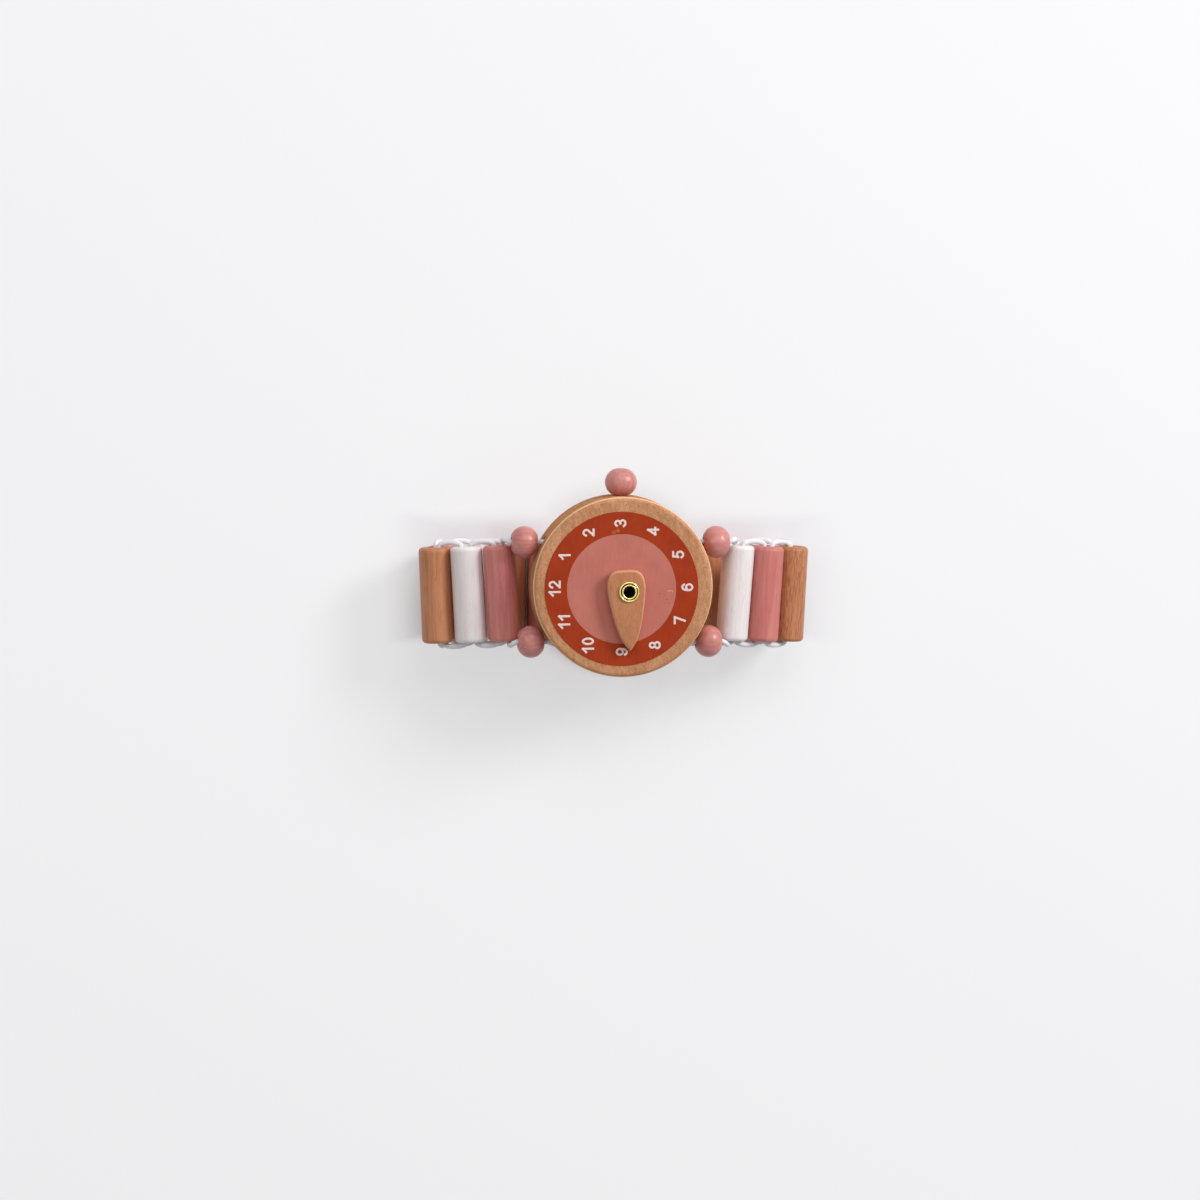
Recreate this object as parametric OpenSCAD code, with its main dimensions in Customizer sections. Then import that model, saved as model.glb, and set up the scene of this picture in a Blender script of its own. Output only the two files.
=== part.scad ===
// Wooden toy watch: a turned case with a printed dial and a hand that turns on a brass eyelet.
// The band is a row of wooden tube beads on one elastic that runs through them like a ladder.
// Millimetres. The dial faces +Z, the crown points along +Y and the band runs along X.
// The closed watch lies on the rear beads of its band, with the floor at z = 0.

/* [Case] */
// Diameter of the wooden case
case_d = 38; // [33:0.2:42]
// Thickness of the case
case_h = 12; // [9:0.5:14]
// Rounding of the case's front and back edges
case_round = 0.9; // [0.4:0.1:1.5]
// Diameter of the two bores that the elastic passes through
cord_bore_d = 2.6; // [2.2:0.1:3]
// Distance between the two cord bores
cord_bore_pitch = 21.1; // [19:0.1:23]
// How far the middle of the two cord bores lies below the centre of the case
cord_bore_drop = 1.4; // [0:0.1:2]

/* [Dial print] */
// Outer diameter of the printed number ring
ring_d = 32.5; // [29:0.5:35]
// Diameter of the printed disc in the middle
centre_d = 23.1; // [18:0.1:26]
// Thickness of the printed layers
print_h = 0.1; // [0.05:0.01:0.2]
// Sideways shift of the print on the case
print_shift_x = -0.4; // [-0.5:0.1:0.5]
// Shift of the print towards the crown
print_shift_y = -0.3; // [-0.5:0.1:0.5]

/* [Hub] */
// Distance of the hub from the case's centre, along the band
hub_x = 0.9; // [0:0.1:1.5]
// Distance of the hub from the case's centre, towards the crown
hub_y = -0.7; // [-1.5:0.1:0]

/* [Hand] */
// Length of the hand from the hub to its tip
hand_reach = 12.5; // [10:0.1:14]
// Length of the hand from the hub to its blunt end
hand_tail = 4.5; // [4:0.1:5.5]
// Width of the hand at the hub
hand_w = 8; // [7:0.1:9]
// Thickness of the hand
hand_h = 2.4; // [1.8:0.1:3]
// Rounding of the hand's upper edge
hand_round = 0.6; // [0.3:0.1:0.9]
// How far the tip is turned from straight down, in degrees
hand_turn = 2.5; // [-20:0.5:20]
// How far the hub's hole lies off the middle line of the hand
hand_off = 0.45; // [0:0.05:0.6]

/* [Eyelet] */
// Outer diameter of the eyelet's barrel
barrel_d = 3.2; // [2.8:0.1:3.6]
// Diameter of the hole through the eyelet
eyelet_hole_d = 2.5; // [2:0.1:2.6]
// Outer diameter of the rolled rim on the hand
rim_d = 4.3; // [4:0.1:5]
// Outer diameter of the rolled rim on the back
back_rim_d = 4.8; // [4.4:0.1:5.4]

/* [Round beads] */
// Diameter of the crown bead and of the four corner beads
bead_d = 6.8; // [6:0.1:7.4]
// Length of a round bead along its bore
bead_len = 5.5; // [5:0.1:6]
// Diameter of a round bead's flat end
bead_face_d = 3; // [2.8:0.1:3.6]
// Diameter of a round bead's bore
bead_bore_d = 2.2; // [2:0.1:2.4]
// Diameter of the wooden peg that holds the crown bead
peg_d = 2.1; // [1.8:0.1:2.1]
// Depth of the crown peg in the case
peg_depth = 5; // [3:0.5:6]
// Depth of the blind hole in the crown bead
crown_hole_depth = 4; // [3:0.5:4.5]

/* [Tube beads] */
// Diameter of a tube bead
tube_d = 6.8; // [6.4:0.1:7]
// Length of a tube bead
tube_len = 20.4; // [18:0.1:21]
// Diameter of a tube bead's bore
tube_bore_d = 3.4; // [3.2:0.1:3.8]
// Rounding of a tube bead's outer edges
tube_round = 0.9; // [0.5:0.1:1]
// Rounding of the mouth of a tube bead's bore
mouth_round = 0.4; // [0.3:0.1:0.5]
// Gap between neighbouring tube beads of the closed band
tube_gap = 0.35; // [0.3:0.05:0.8]
// How far the middle of the tube beads lies below the centre of the case
tube_drop = 2; // [1:0.1:2.6]
// Lean of the tube beads beside the case, in degrees
tube_lean = 4; // [0:0.5:5]
// How far out the first tube bead's axis lies from the end of the corner beads, to the right
right_reach = 2; // [1.8:0.1:3]
// How far out the first tube bead's axis lies from the end of the corner beads, to the left
left_reach = 1.6; // [1.6:0.1:3]

/* [Elastic] */
// Diameter of the elastic
elastic_d = 1.1; // [0.9:0.1:1.1]
// Diameter of the knot in the elastic
knot_d = 2; // [1.6:0.1:2]

/* [Hidden] */
tube_count = 17;
rear_tube = (tube_count + 1) / 2;

function two_digits(k) = k < 10 ? str("0", k) : str(k);
function tube_name(k) = str("tube_", two_digits(k));

CORNERS = ["upper_right", "upper_left", "lower_right", "lower_left"];
CASE_NODES = ["case", "dial_ring", "dial_centre", "hand", "eyelet", "crown_bead", "crown_peg"];
CORNER_NODES = [for (c = CORNERS) str("corner_bead_", c)];
TUBE_NODES = [for (k = [1 : tube_count]) tube_name(k)];

$fn = 64;

// One overrun serves every cut
overrun = 1;
// Clearances: glued or pressed pieces, the hand on its barrel, the hand above the dial
seat_gap = 0.05;
running_gap = 0.08;
hand_gap = 0.15;
// Clearances: a round bead beside the case, the elastic inside a tube bead
bead_gap = 0.25;
strand_gap = 0.1;
// Gap between the two printed fields
print_gap = 0.02;

// Radii that several pieces share
case_r = case_d / 2;
tube_r = tube_d / 2;
bead_r = bead_d / 2;
elastic_r = elastic_d / 2;
pitch = tube_d + tube_gap;

// Band loop, seen along Y: the direction of each link along the rear, going out from the rear bead
right_rear_angles = [0, 0, 0, 0, 8];
left_rear_angles = [0, 0, 0, 0, 20];
// Direction of the three links that fold back up to the case. They turn together, so that the
// first tube bead keeps its reach from the corner beads when the case or a bead changes.
right_fold_angles = [70.2, 146.3, 161.8];
left_fold_angles = [68.8, 160, 162.5];
// Height of the case's middle above the axes of the two beads beside it
case_lift = 4.3;
// Shift of the case along the band
case_shift = 0.2;
// Direction of the elastic from a corner bead down to the bead beside it
end_drop_angle = 28;
// Share of the full lean that each tube bead has, going away from the case
lean_shares = [1, 0.85, 0.65, 0.45, 0.25, 0.1, 0, 0, 0];

// Corner beads: strung on the elastic, square to the band, just clear of the case's round side
function corner_y(top) = top * cord_bore_pitch / 2 - cord_bore_drop;
function corner_x(top) = bead_len / 2
    + sqrt(pow(case_r + bead_gap, 2) - pow(abs(corner_y(top)) - bead_face_d / 2, 2));
corner_reach = max(corner_x(1), corner_x(-1)) + bead_len / 2;

function in_loop(a) = [cos(a), sin(a)];
// Turn of a fold that brings its last bead to the wanted distance from the middle
function fold_turn(rear, fold, wanted) =
    let (sum = in_loop(fold[0]) + in_loop(fold[1]) + in_loop(fold[2]))
    acos((wanted / pitch - 4 - cos(rear[4])) / norm(sum)) - atan2(sum[1], sum[0]);
right_turn = fold_turn(right_rear_angles, right_fold_angles, corner_reach + case_shift + right_reach);
left_turn = fold_turn(left_rear_angles, left_fold_angles, corner_reach - case_shift + left_reach);
right_angles = concat(right_rear_angles, [for (a = right_fold_angles) a + right_turn]);
left_angles = concat(left_rear_angles, [for (a = left_fold_angles) a + left_turn]);

// Direction angle of the link from tube k to tube k + 1, clockwise all the way round
function heading(k) =
    k == 0 ? -end_drop_angle
    : k == tube_count ? end_drop_angle - 360
    : k < rear_tube ? right_angles[rear_tube - 1 - k] - 180
    : -180 - left_angles[k - rear_tube];
// Centre of tube k as [x, z]
function loop_place(k) =
    k == rear_tube ? [0, tube_r]
    : k < rear_tube ? loop_place(k + 1) - pitch * in_loop(heading(k))
    : loop_place(k - 1) + pitch * in_loop(heading(k - 1));

// The flank of a round bead is an arc about this radius. The crown's outer end closes in the same arc
flank_at = (pow(bead_r, 2) - pow(bead_face_d / 2, 2) - pow(bead_len / 2, 2)) / (bead_d - bead_face_d);
flank_r = bead_r - flank_at;
// The crown reaches out past the case, so the case sits back by half of that
crown_reach = seat_gap + bead_len / 2 + flank_r;
case_place = [case_shift, -crown_reach / 2, (loop_place(1)[1] + loop_place(tube_count)[1]) / 2 + case_lift];
dial_z = case_h / 2;
hand_z = dial_z + print_h + hand_gap;
hand_top_z = hand_z + hand_h;

function tube_lean_at(k) =
    k <= rear_tube ? -tube_lean * lean_shares[k - 1] : tube_lean * lean_shares[tube_count - k];
// The beads fan out, so the row drops a little from bead to bead on its way to the rear
function row_step(k) =
    abs(loop_place(k)[0] - loop_place(k + 1)[0]) * tan((abs(tube_lean_at(k)) + abs(tube_lean_at(k + 1))) / 2);
function row_rise(k) =
    k == rear_tube ? 0 : k < rear_tube ? row_rise(k + 1) + row_step(k) : row_rise(k - 1) + row_step(k - 1);
function tube_place(k) =
    [loop_place(k)[0], case_place[1] - tube_drop - row_rise(1) + row_rise(k), loop_place(k)[1]];

module at_case() { translate(case_place) children(); }
module at_hub() { at_case() translate([hub_x, hub_y, 0]) children(); }

// Half profile of a turned ring, from a bore to an outer radius, with rounded edges
module turned_profile(bore_r, outer_r, length, outer_round, inner_round) {
    inner = bore_r > 0 ? inner_round : 0;
    intersection() {
        translate([bore_r, -length / 2]) square([outer_r - bore_r, length]);
        union() {
            translate([bore_r + inner, -length / 2]) square([outer_r - outer_round - bore_r - inner, length]);
            translate([bore_r, outer_round - length / 2]) square([outer_r - bore_r, length - 2 * outer_round]);
            for (side = [-1, 1]) translate([outer_r - outer_round, side * (length / 2 - outer_round)])
                circle(r = outer_round);
            if (inner > 0) {
                translate([bore_r, inner - length / 2]) square([inner, length - 2 * inner]);
                for (side = [-1, 1]) translate([bore_r + inner, side * (length / 2 - inner)]) circle(r = inner);
            }
        }
    }
}

// Round bead along Z: its flank is one arc from flat end to flat end
module round_bead(bore_r) {
    rotate_extrude() intersection() {
        translate([flank_at, 0]) circle(r = flank_r);
        translate([bore_r, -bead_len / 2]) square([bead_r - bore_r, bead_len]);
    }
}

// Case: a turned disc with the hub's hole, two cord bores and the crown's blind hole
module case() {
    color([0.75, 0.54, 0.38]) at_case() difference() {
        rotate_extrude() turned_profile(0, case_r, case_h, case_round, 0);
        translate([hub_x, hub_y, -case_h / 2 - overrun])
            cylinder(h = case_h + overrun + overrun, d = barrel_d + seat_gap + seat_gap);
        for (side = [-1, 1])
            translate([-case_r - overrun, side * cord_bore_pitch / 2 - cord_bore_drop, 0])
                rotate([0, 90, 0]) cylinder(h = case_d + overrun + overrun, d = cord_bore_d);
        translate([0, case_r + overrun, 0]) rotate([90, 0, 0])
            cylinder(h = peg_depth + seat_gap + overrun, d = peg_d + seat_gap + seat_gap);
    }
}

module print_field(outer_d, inner_d) {
    at_case() translate([print_shift_x, print_shift_y, dial_z]) difference() {
        cylinder(h = print_h, d = outer_d);
        if (inner_d > 0) translate([0, 0, -overrun]) cylinder(h = print_h + overrun + overrun, d = inner_d);
        translate([hub_x - print_shift_x, hub_y - print_shift_y, -overrun])
            cylinder(h = print_h + overrun + overrun, d = barrel_d + seat_gap + seat_gap);
    }
}

module dial_ring() { color([0.62, 0.21, 0.12]) print_field(ring_d, centre_d + print_gap + print_gap); }

module dial_centre() { color([0.76, 0.45, 0.42]) print_field(centre_d, 0); }

// Hand outline from the blunt end to the tip, as shares of the tail, the reach and the half width
tail_shares = [[1, 0.42], [0.96, 0.62], [0.84, 0.76], [0.62, 0.87], [0.32, 0.95]];
reach_shares = [[0, 1], [0.27, 0.85], [0.53, 0.66], [0.66, 0.55], [0.79, 0.42], [0.92, 0.2], [0.97, 0.1], [1, 0]];
function hand_side(inset) = concat(
    [for (s = tail_shares) [s[1] * (hand_w / 2 - inset), s[0] * (hand_tail - inset)]],
    [for (s = reach_shares) [s[1] * (hand_w / 2 - inset), -s[0] * (hand_reach - inset)]]);
function mirrored(side) = [for (i = [len(side) - 2 : -1 : 0]) [-side[i][0], side[i][1]]];
module hand_outline(inset) { polygon(concat(hand_side(inset), mirrored(hand_side(inset)))); }

// Hand: a flat teardrop whose upper edge is rounded over in small steps
module hand() {
    color([0.72, 0.48, 0.34]) at_hub() translate([0, 0, hand_z]) rotate([0, 0, hand_turn]) difference() {
        translate([-hand_off, 0, 0]) hull() for (a = [0, 30, 60, 90])
            linear_extrude(height = hand_h - hand_round * (1 - sin(a))) hand_outline(hand_round * (1 - cos(a)));
        translate([0, 0, -overrun])
            cylinder(h = hand_h + overrun + overrun, d = barrel_d + running_gap + running_gap);
    }
}

// Eyelet: a hollow barrel through hand and case, with a double rolled rim in front and a plain one behind
module eyelet() {
    hole_r = eyelet_hole_d / 2;
    wall = barrel_d / 2 - hole_r;
    front = hand_top_z + running_gap;
    back = -case_h / 2 - seat_gap;
    roll_r = (rim_d / 2 - hole_r) / 3;
    back_roll_r = (back_rim_d / 2 - hole_r) / 2;
    color([0.84, 0.72, 0.36]) at_hub() rotate_extrude() {
        translate([hole_r, back - back_roll_r]) square([wall, front + roll_r - back + back_roll_r]);
        translate([rim_d / 2 - roll_r, front + roll_r]) circle(r = roll_r);
        translate([hole_r + roll_r, front + roll_r + wall / 2]) circle(r = roll_r);
        translate([hole_r + wall / 2, front]) square([rim_d / 2 - roll_r - hole_r - wall / 2, roll_r + wall / 2]);
        translate([hole_r + back_roll_r, back - back_roll_r]) circle(r = back_roll_r);
    }
}

// Crown: a bead with a domed outer end and a blind hole, glued on a peg that is glued into the case
module crown_bead() {
    half = bead_len / 2;
    color([0.78, 0.46, 0.44]) at_case() translate([0, case_r + seat_gap + half, 0]) rotate([-90, 0, 0]) difference() {
        rotate_extrude() intersection() {
            union() {
                translate([flank_at, 0]) circle(r = flank_r);
                translate([0, -flank_r]) square([flank_at, flank_r + flank_r]);
            }
            translate([0, -half]) square([bead_r, half + flank_r]);
        }
        translate([0, 0, -half - overrun])
            cylinder(h = overrun + crown_hole_depth, d = peg_d + seat_gap + seat_gap);
    }
}

module crown_peg() {
    color([0.8, 0.62, 0.45]) at_case() translate([0, case_r - peg_depth, 0])
        rotate([-90, 0, 0]) cylinder(h = peg_depth + crown_hole_depth, d = peg_d);
}

function corner_side(c) = c % 2 == 0 ? 1 : -1;
function corner_top(c) = c < 2 ? 1 : -1;

module corner_bead(c) {
    top = corner_top(c);
    color([0.78, 0.46, 0.44]) at_case() translate([corner_side(c) * corner_x(top), corner_y(top), 0])
        rotate([0, 90, 0]) round_bead(bead_bore_d / 2);
}

// Tube beads: white, pink and plain wood in turn, from the one to the right of the dial
TUBE_COLOURS = [[0.9, 0.88, 0.87], [0.76, 0.43, 0.41], [0.76, 0.53, 0.36]];

module tube_bead(k) {
    color(TUBE_COLOURS[(k - 1) % 3]) translate(tube_place(k)) rotate([-90, 0, tube_lean_at(k)])
        rotate_extrude() turned_profile(tube_bore_d / 2, tube_r, tube_len, tube_round, mouth_round);
}

// Elastic: one closed loop. In each tube bead its two strands cross in a half turn round the bore,
// and between two beads each strand arches over the ends. A route point is [x, y, z, angle, radius],
// where the angle turns the section with the loop.
strand_off = tube_bore_d / 2 - elastic_r - strand_gap;
arch_lift = elastic_d + strand_gap;
arch_steps = 6;
pass_steps = 5;
section_sides = 6;

function unit(v) = v / norm(v);
function lean_axis(k) = [-sin(tube_lean_at(k)), cos(tube_lean_at(k)), 0];
function lean_side(k) = [cos(tube_lean_at(k)), sin(tube_lean_at(k)), 0];
// Point beside the axis of tube k: along is -1 at the lower end and 1 at the upper one
function in_bore(k, along, a) = tube_place(k) + along * tube_len / 2 * lean_axis(k)
    + strand_off * (cos(a) * lean_side(k) + sin(a) * [0, 0, 1]);
function bend(p, q, r, s, t) =
    pow(1 - t, 3) * p + 3 * t * pow(1 - t, 2) * q + 3 * t * t * (1 - t) * r + pow(t, 3) * s;

// One strand through tube k, from the side that faces the last bead to the side of the next
function strand(k, from_top) = [
    for (i = [0 : pass_steps])
        let (
            u = i / pass_steps,
            start = heading(k - 1) - 180,
            turn = heading(k) - heading(k - 1) + 180,
            swing = from_top > 0 ? turn : turn - 360
        )
        concat(
            in_bore(k, from_top * (1 - u - u), start + swing * u),
            [heading(k - 1) + (heading(k) - heading(k - 1)) * u, elastic_r]
        )
];
// Arch from tube k to tube k + 1, without its two ends
function arch(k, top) = [
    for (i = [1 : arch_steps - 1])
        let (
            p = in_bore(k, top, heading(k)),
            s = in_bore(k + 1, top, heading(k) - 180),
            q = p + top * arch_lift * lean_axis(k),
            r = s + top * arch_lift * lean_axis(k + 1)
        )
        concat(bend(p, q, r, s, i / arch_steps), [heading(k), elastic_r])
];
// Mouth of a corner bead's bore on its outer end
function bead_mouth(side, top) = case_place + [side * (corner_x(top) + bead_len / 2), corner_y(top), 0];
// Arch between a corner bead and the tube bead beside it, from the tube bead's bore outwards
function end_arch(k, side, top) = [
    for (i = [1 : arch_steps])
        let (
            p = in_bore(k, top, side > 0 ? heading(0) - 180 : heading(tube_count)),
            s = bead_mouth(side, top),
            q = p + top * (arch_lift + elastic_r) * lean_axis(k),
            r = s + side * (arch_lift + elastic_r) * [1, 0, 0] + top * elastic_r * [0, 1, 0]
        )
        concat(bend(p, q, r, s, i / arch_steps), [side > 0 ? heading(0) : heading(tube_count), elastic_r])
];
// Straight run through the case and its two corner beads, from the left to the right
knot_shares = [[-1, 0], [-0.6, 0.9], [0, 1], [0.6, 0.9], [1, 0]];
function case_run(top) = [
    for (s = knot_shares)
        concat(
            case_place + [s[0] * knot_d, corner_y(top), 0],
            [0, elastic_r + (top < 0 ? s[1] * (knot_d / 2 - elastic_r) : 0)]
        )
];
function backwards(list) = [for (i = [len(list) - 1 : -1 : 0]) list[i]];
// The whole band from tube 1 to tube 17 along one strand
function ladder(first_top) = [
    for (k = [1 : tube_count])
        let (top = k % 2 == 1 ? first_top : -first_top)
        each concat(strand(k, top), k < tube_count ? arch(k, -top) : [])
];
function turned_back(list) = [for (p = list) [p[0], p[1], p[2], p[3] + 360, p[4]]];
// Top strand down to the last lower bead, back through the case, then the other strand
route = concat(
    ladder(1), end_arch(tube_count, -1, -1), turned_back(case_run(-1)), backwards(end_arch(1, 1, -1)),
    ladder(-1), end_arch(tube_count, -1, 1), turned_back(case_run(1)), backwards(end_arch(1, 1, 1))
);

module swept_loop(points, sides) {
    n = len(points);
    spots = [for (p = points) [p[0], p[1], p[2]]];
    rings = [
        for (i = [0 : n - 1])
            let (
                t = unit(spots[(i + 1) % n] - spots[(i + n - 1) % n]),
                out = [-sin(points[i][3]), 0, cos(points[i][3])],
                a = unit(out - (out * t) * t),
                b = cross(t, a)
            )
            for (j = [0 : sides - 1])
                spots[i] + points[i][4] * (cos(360 * j / sides) * a + sin(360 * j / sides) * b)
    ];
    faces = [
        for (i = [0 : n - 1]) for (j = [0 : sides - 1])
            let (
                here = i * sides,
                next = ((i + 1) % n) * sides,
                k = (j + 1) % sides
            )
            each [[here + j, next + k, here + k], [here + j, next + j, next + k]]
    ];
    polyhedron(points = rings, faces = faces, convexity = 10);
}

module elastic_cord() { color([0.93, 0.91, 0.89]) swept_loop(route, section_sides); }

case();
dial_ring();
dial_centre();
hand();
eyelet();
crown_bead();
crown_peg();
for (c = [0 : len(CORNERS) - 1]) corner_bead(c);
for (k = [1 : tube_count]) tube_bead(k);
elastic_cord();
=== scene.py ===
import math
import bpy
import bmesh
from mathutils import Matrix, Vector


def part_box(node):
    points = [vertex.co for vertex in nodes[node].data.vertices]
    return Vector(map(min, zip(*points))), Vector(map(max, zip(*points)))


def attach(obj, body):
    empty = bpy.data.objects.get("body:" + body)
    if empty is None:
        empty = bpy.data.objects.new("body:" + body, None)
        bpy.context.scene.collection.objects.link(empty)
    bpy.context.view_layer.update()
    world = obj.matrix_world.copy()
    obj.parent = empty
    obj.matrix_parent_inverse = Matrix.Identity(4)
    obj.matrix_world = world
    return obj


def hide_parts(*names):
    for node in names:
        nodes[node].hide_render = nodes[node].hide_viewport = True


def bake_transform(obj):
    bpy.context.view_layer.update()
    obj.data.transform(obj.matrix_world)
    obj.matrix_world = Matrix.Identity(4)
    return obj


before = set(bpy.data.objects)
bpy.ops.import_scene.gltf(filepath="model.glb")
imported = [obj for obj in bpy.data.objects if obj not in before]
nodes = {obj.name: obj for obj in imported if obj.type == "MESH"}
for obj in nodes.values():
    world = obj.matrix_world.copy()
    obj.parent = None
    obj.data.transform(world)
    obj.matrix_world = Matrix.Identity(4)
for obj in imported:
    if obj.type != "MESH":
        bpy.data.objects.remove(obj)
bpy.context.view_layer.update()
mm = 0.001  # everything below is written in millimetres and built in metres


def boxMiddle(node):
    low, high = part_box(node)
    return (low + high) / (2 * mm)


casePlace = boxMiddle("case")
hubPlace = boxMiddle("eyelet")
printMiddle = boxMiddle("dial_ring")
caseLow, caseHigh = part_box("case")
dialFront = caseHigh.z / mm
caseBack = caseLow.z / mm
caseRadius = (caseHigh.x - caseLow.x) / (2 * mm)
caseThick = (caseHigh.z - caseLow.z) / mm


# One bench for shader trees and geometry trees alike
class signal:
    def __init__(self, bench, socket):
        self.bench, self.socket = bench, socket

    def maths(self, operation, other, flipped=False):
        first, second = (other, self) if flipped else (self, other)
        return self.bench.node("ShaderNodeMath", {"operation": operation}, {0: first, 1: second})

    def single(self, operation):
        return self.bench.node("ShaderNodeMath", {"operation": operation}, {0: self})

    def __add__(self, other):
        return self.maths("ADD", other)

    def __radd__(self, other):
        return self.maths("ADD", other, True)

    def __sub__(self, other):
        return self.maths("SUBTRACT", other)

    def __rsub__(self, other):
        return self.maths("SUBTRACT", other, True)

    def __mul__(self, other):
        return self.maths("MULTIPLY", other)

    def __rmul__(self, other):
        return self.maths("MULTIPLY", other, True)

    def __truediv__(self, other):
        return self.maths("DIVIDE", other)

    def __rtruediv__(self, other):
        return self.maths("DIVIDE", other, True)

    def __pow__(self, other):
        return self.maths("POWER", other)

    def out(self, name):
        return signal(self.bench, self.socket.node.outputs[name])

    def smooth(self, low, high, start=0.0, stop=1.0):
        # eases from start to stop as the value goes from low to high
        return self.bench.node("ShaderNodeMapRange", {"interpolation_type": "SMOOTHSTEP"},
                               {0: self, 1: low, 2: high, 3: start, 4: stop})


class nodeBench:
    def __init__(self, tree):
        self.tree = tree

    def node(self, kind, settings=None, values=None, pick=0):
        made = self.tree.nodes.new(kind)
        for name, value in (settings or {}).items():
            setattr(made, name, value)
        for name, value in (values or {}).items():
            if isinstance(value, signal):
                self.tree.links.new(value.socket, made.inputs[name])
            else:
                made.inputs[name].default_value = value
        return signal(self, made.outputs[pick]) if made.outputs else None

    def mixed(self, share, first, second):
        # a colour mix has its factor at input 0, its colours at 6 and 7 and its result at output 2
        return self.node("ShaderNodeMix", {"data_type": "RGBA"}, {0: share, 6: first, 7: second}, 2)

    def noise(self, place, scale, detail=2.0, rough=0.5, twist=0.0):
        values = {"Vector": place, "Scale": scale, "Detail": detail, "Roughness": rough, "Distortion": twist}
        return self.node("ShaderNodeTexNoise", {"noise_dimensions": "3D"}, values)

    def vector(self, operation, place, other, pick="Vector"):
        return self.node("ShaderNodeVectorMath", {"operation": operation}, {0: place, 1: other}, pick)

    def stretched(self, place, scale):
        return self.vector("MULTIPLY", place, scale)

    def apart(self, place):
        # x, y and z of a vector
        split = self.node("ShaderNodeSeparateXYZ", {}, {0: place})
        return split, split.out("Y"), split.out("Z")


def paint(red, green, blue):
    # a colour as written on screen, made linear by the usual screen curve
    def linear(level):
        share = level / 255
        return share / 12.92 if share <= 0.04045 else ((share + 0.055) / 1.055) ** 2.4
    return (linear(red), linear(green), linear(blue), 1.0)


def startFinish(name, constants):
    material = bpy.data.materials.new(name)
    material.use_nodes = True
    material.node_tree.nodes.clear()
    bench = nodeBench(material.node_tree)
    shader = bench.node("ShaderNodeBsdfPrincipled", {}, constants)
    bench.node("ShaderNodeOutputMaterial", {}, {"Surface": shader})
    return material, bench, shader.socket.node


def feed(bench, shader, name, value):
    bench.tree.links.new(value.socket, shader.inputs[name])


def giveBump(bench, shader, strength, height, depth=0.05):
    # depth is what a height of one stands for, in millimetres
    bump = bench.node("ShaderNodeBump", {}, {"Strength": strength, "Distance": depth * mm, "Height": height})
    feed(bench, shader, "Normal", bump)


def around(middle, spread, share):
    # a share from 0 to 1 becomes a value that varies by the spread about the middle
    return share * spread + (middle - spread / 2)


def pieceCoordinates(bench, middle, turn=(0.0, 0.0, 0.0)):
    # millimetres from the piece's middle, with its grain along Y
    place = bench.node("ShaderNodeTexCoord", pick="Object")
    centred = bench.node("ShaderNodeMapping", {"vector_type": "TEXTURE"},
                         {"Vector": place, "Location": tuple(c * mm for c in middle), "Rotation": turn})
    return bench.stretched(centred, (1 / mm, 1 / mm, 1 / mm))


# Wood and paint finishes
grain = {"broadDraw": 0.25, "poreDraw": 2.2, "streakShare": 0.65, "broadShare": 0.35,
         "toneFrom": 0.32, "toneTo": 0.68, "poreEdge": 0.09}
bareFinish = {"shine": 0.3, "spread": 0.08, "toneHeight": 0.35, "poreDepth": 0.65}
paintFinish = {"shine": 0.35, "spread": 0.14, "cloudScale": 0.8, "fineScale": 3.5,
               "toneHeight": 0.5, "poreDepth": 0.5, "fineHeight": 0.25}


def grainOf(bench, place, offset, look):
    # long streaks, broad tone and short pores, all drawn out along Y
    moved = bench.vector("ADD", place, offset)

    def drawnOut(share):
        return bench.stretched(moved, (1.0, share, 1.0))
    streaks = bench.noise(drawnOut(look["draw"]), look["streakScale"], detail=3.0, rough=0.6, twist=0.3)
    broad = bench.noise(drawnOut(grain["broadDraw"]), look["broadScale"], detail=1.0)
    pores = bench.noise(drawnOut(look["draw"] * grain["poreDraw"]), look["poreScale"], detail=1.0)
    tone = streaks * grain["streakShare"] + broad * grain["broadShare"]
    tone = tone.smooth(grain["toneFrom"], grain["toneTo"])
    return tone, pores.smooth(look["poreFrom"], look["poreFrom"] + grain["poreEdge"])


def woodColour(bench, tone, pores, look):
    colour = bench.mixed(tone, look["light"], look["dark"])
    return bench.mixed(pores * look["poreShare"], colour, look["pore"])


def bareWood(name, look, middle, turn=(0.0, 0.0, 0.0), offset=(0.0, 0.0, 0.0)):
    material, bench, shader = startFinish(name, {"Specular IOR Level": bareFinish["shine"]})
    place = pieceCoordinates(bench, middle, turn)
    tone, pores = grainOf(bench, place, offset, look)
    colour = woodColour(bench, tone, pores, look)
    if "edge" in look:  # the rounded upper edge gets a painted highlight, so it is paler than the flat top
        x, y, z = bench.apart(place)
        pale = z.smooth(look["edgeFrom"], look["edgeTo"]) * look["edgeHighlightShare"]
        colour = bench.mixed(pale, colour, look["edge"])
    feed(bench, shader, "Base Color", colour)
    feed(bench, shader, "Roughness", around(look["rough"], bareFinish["spread"], tone))
    giveBump(bench, shader, look["bump"], tone * bareFinish["toneHeight"] - pores * bareFinish["poreDepth"])
    return material


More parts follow.
